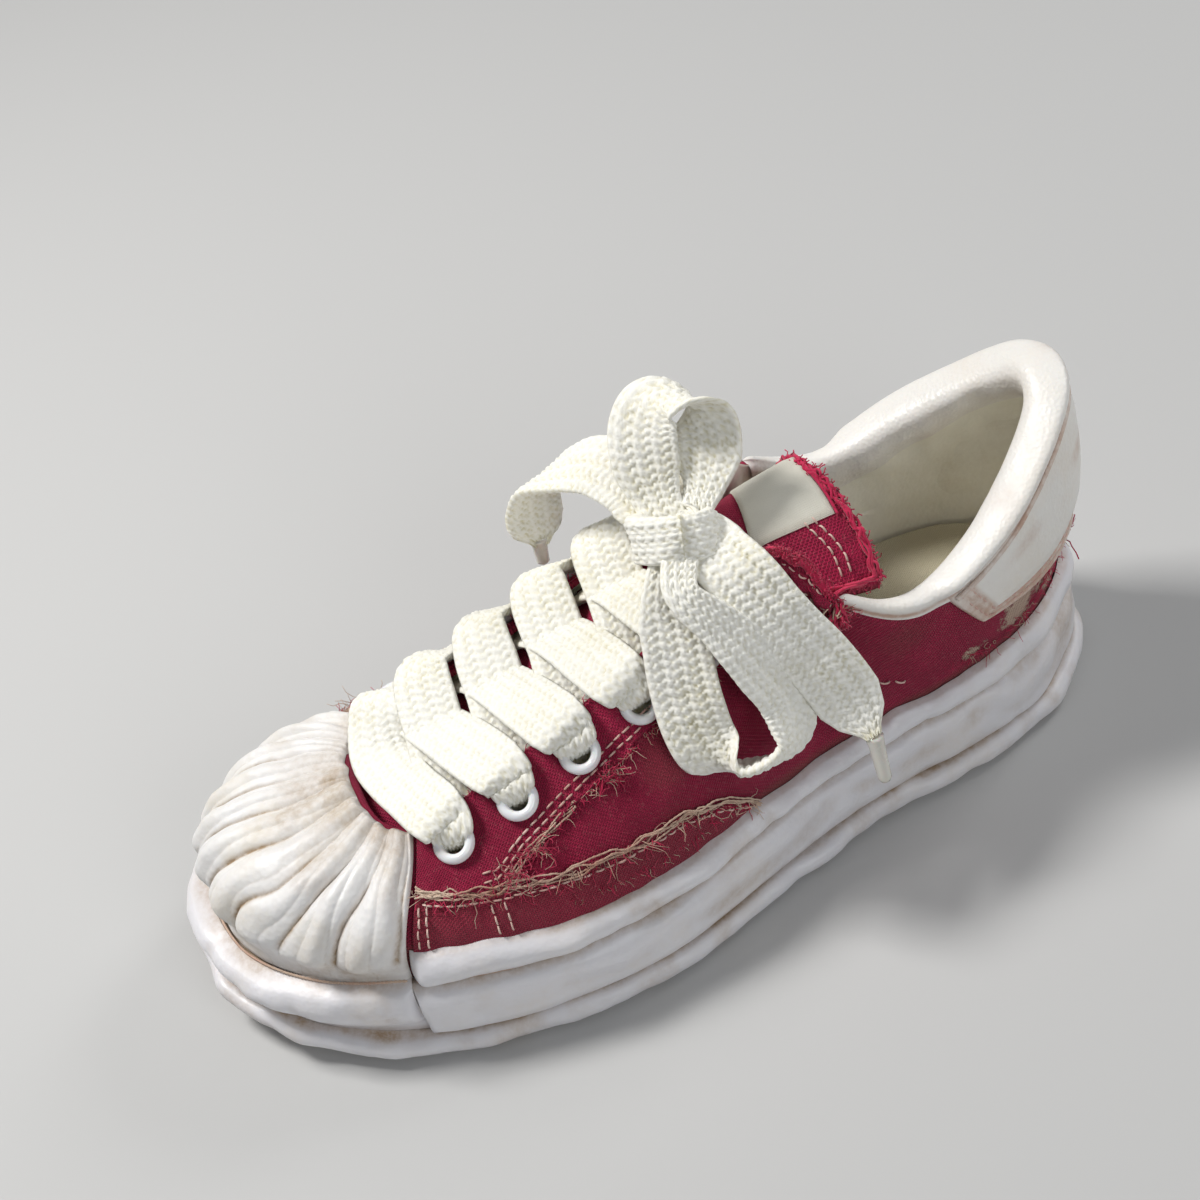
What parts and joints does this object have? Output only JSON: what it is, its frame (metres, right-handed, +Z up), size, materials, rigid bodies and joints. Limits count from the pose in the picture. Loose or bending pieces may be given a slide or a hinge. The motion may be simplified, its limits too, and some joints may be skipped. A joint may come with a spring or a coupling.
{
  "type": "sneaker",
  "caption": "Worn low canvas sneaker for the left foot, with a thick moulded rubber sole, a shell toe cap and a tied flat lace.",
  "frame": {"origin": "middle of the shoe's box on the floor, laces' free parts left out", "axes": "+Z up; the toe points along -Y and the heel along +Y; +X is the outer (lateral) side of this left shoe"},
  "size_m": [0.1148, 0.2818, 0.1313],
  "materials": {
    "rubber": "worn off-white moulded rubber, satin",
    "cap_rubber": "worn off-white rubber, creased and dirty",
    "canvas": "crimson canvas, worn",
    "tongue_canvas": "crimson canvas, worn",
    "leather": "cream pebbled leather",
    "collar_lining": "off-white padded lining",
    "footbed": "cream woven footbed",
    "cotton": "cream braided cotton, matt",
    "eyelet": "white, glossy",
    "tip": "clear, yellowed"
  },
  "bodies": {
    "root": {"outsole": "rubber", "midsole": "rubber", "toe_bumper": "rubber", "foxing": "rubber", "toe_cap": "cap_rubber", "upper": "canvas", "heel_tab": "leather", "collar_pad": "collar_lining", "tongue": "tongue_canvas", "insole": "footbed", "eyelet_lateral_1": "eyelet", "eyelet_lateral_2": "eyelet", "eyelet_lateral_3": "eyelet", "eyelet_lateral_4": "eyelet", "eyelet_lateral_5": "eyelet", "eyelet_lateral_6": "eyelet", "eyelet_medial_1": "eyelet", "eyelet_medial_2": "eyelet", "eyelet_medial_3": "eyelet", "eyelet_medial_4": "eyelet", "eyelet_medial_5": "eyelet", "eyelet_medial_6": "eyelet", "lace_crossings": "cotton", "lace_knot": "cotton", "lace_loop_high": "cotton", "lace_loop_low": "cotton", "lace_end_medial": "cotton", "lace_end_lateral": "cotton", "aglet_medial": "tip", "aglet_lateral": "tip"}
  },
  "joints": []
}
